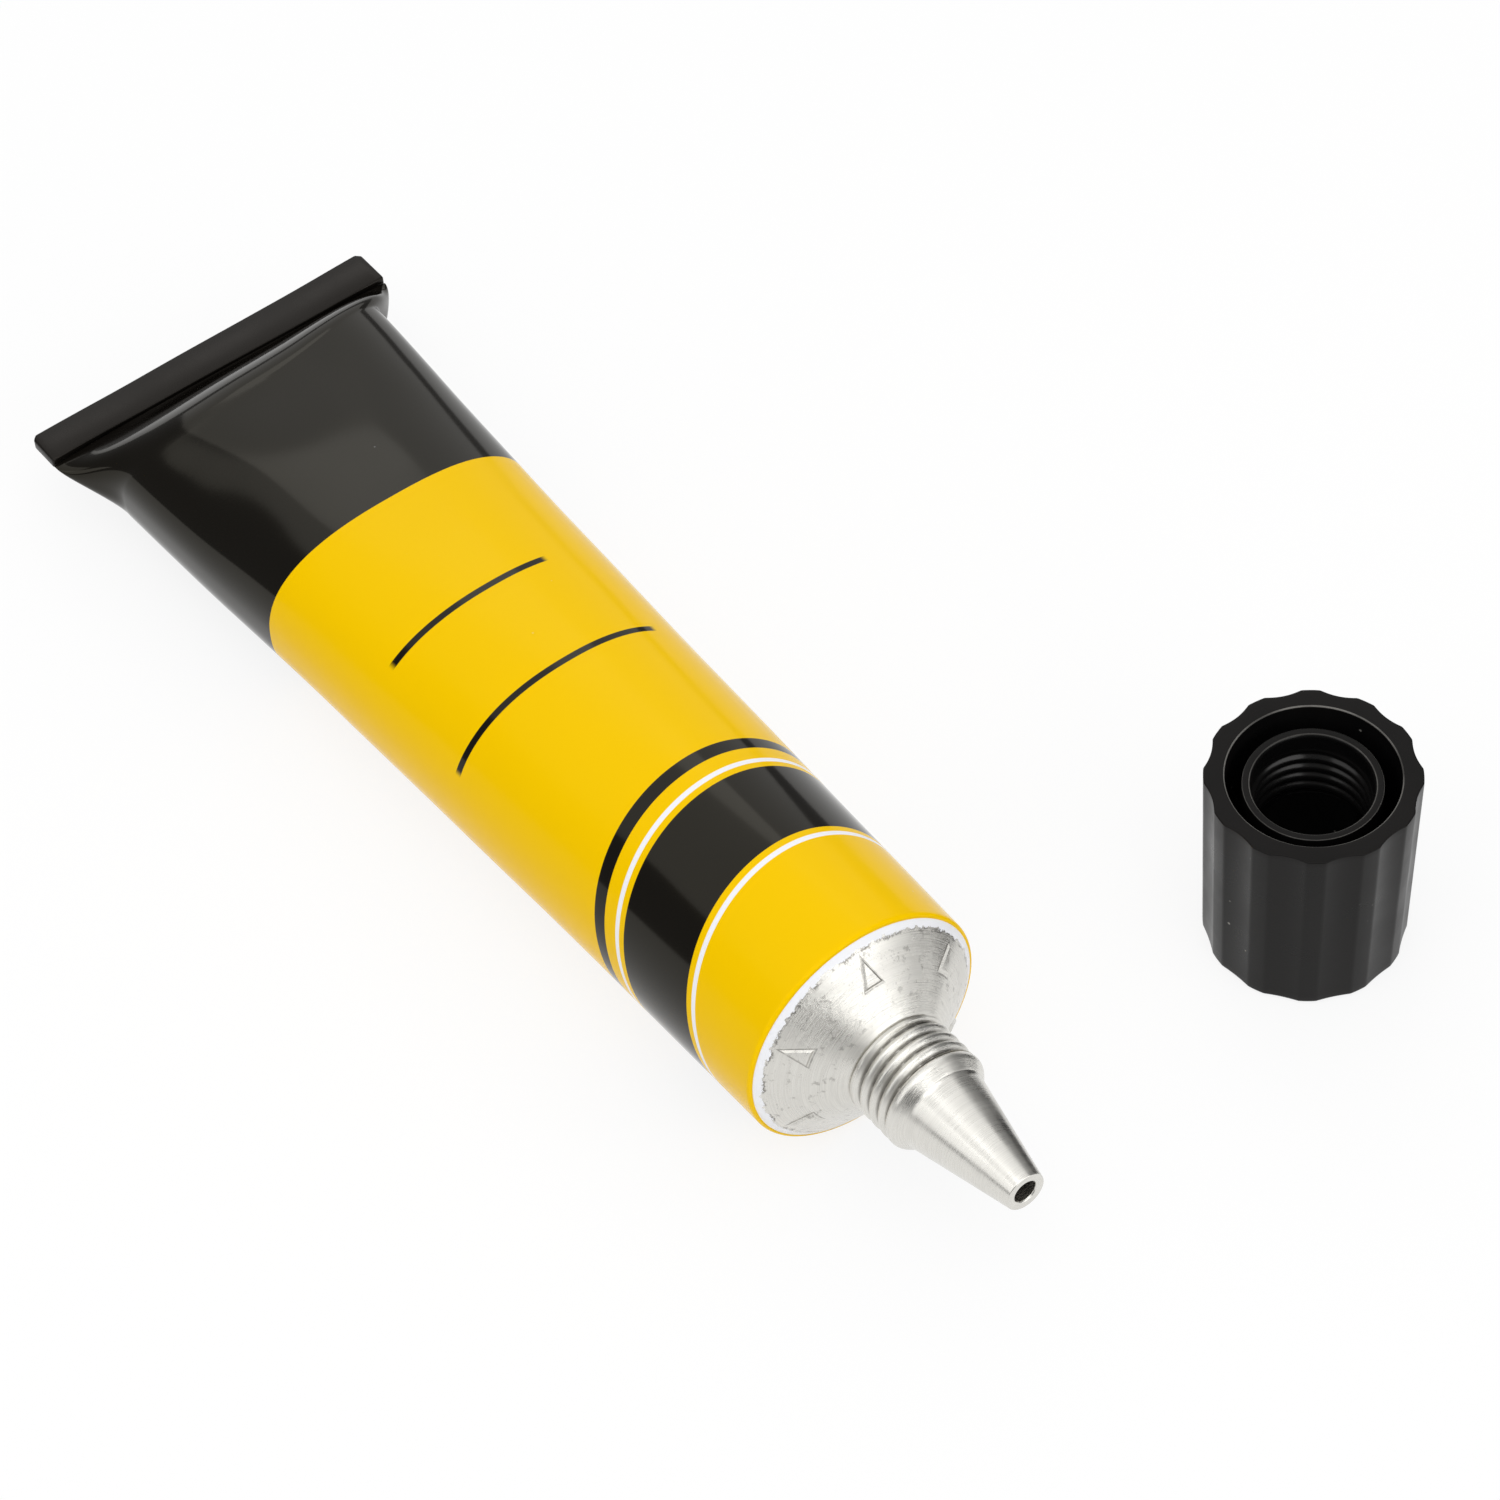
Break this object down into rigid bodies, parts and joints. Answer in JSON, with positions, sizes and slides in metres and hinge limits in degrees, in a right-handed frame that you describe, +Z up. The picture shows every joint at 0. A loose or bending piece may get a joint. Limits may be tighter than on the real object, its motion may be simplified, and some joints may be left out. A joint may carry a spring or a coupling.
{
  "type": "glue tube",
  "caption": "Collapsible metal glue tube lying on its side, with a long conical nozzle and folded tail, and its fluted screw cap standing open beside it.",
  "frame": {"origin": "under the middle of the bounding box of the tube and the cap together, on the surface they lie on", "axes": "+X along the tube from its folded tail towards its nozzle, +Y from the tube towards the cap, +Z up"},
  "size_m": [0.1316, 0.0742, 0.025],
  "materials": {
    "sleeve_lacquer": "gloss lacquer, yellow with a black tail end, on thin aluminium",
    "head_metal": "bare, satin from extrusion and turning",
    "fold_lacquer": "gloss black lacquer over folded sheet",
    "seal_compound": "dull latex",
    "glue": "clear pale syrup",
    "cap_plastic": "satin black moulding",
    "liner_foam": "dull foamed sheet"
  },
  "bodies": {
    "tube": {"tube_sleeve": "sleeve_lacquer", "tube_head": "head_metal", "tail_fold": "fold_lacquer", "tail_seal_strip": "seal_compound", "glue_fill": "glue"},
    "liner": {"cap_liner": "liner_foam"},
    "cap": {"cap_shell": "cap_plastic"}
  },
  "joints": [
    {"name": "cap_lift", "type": "slide", "parent": "tube", "child": "liner", "axis": [0, 0, 1], "range_m": [0, 0.05]},
    {"name": "cap_turn", "type": "hinge", "parent": "liner", "child": "cap", "pos_m": [0.05018, 0.02718, 0], "axis": [0, 0, 1], "continuous": true}
  ]
}
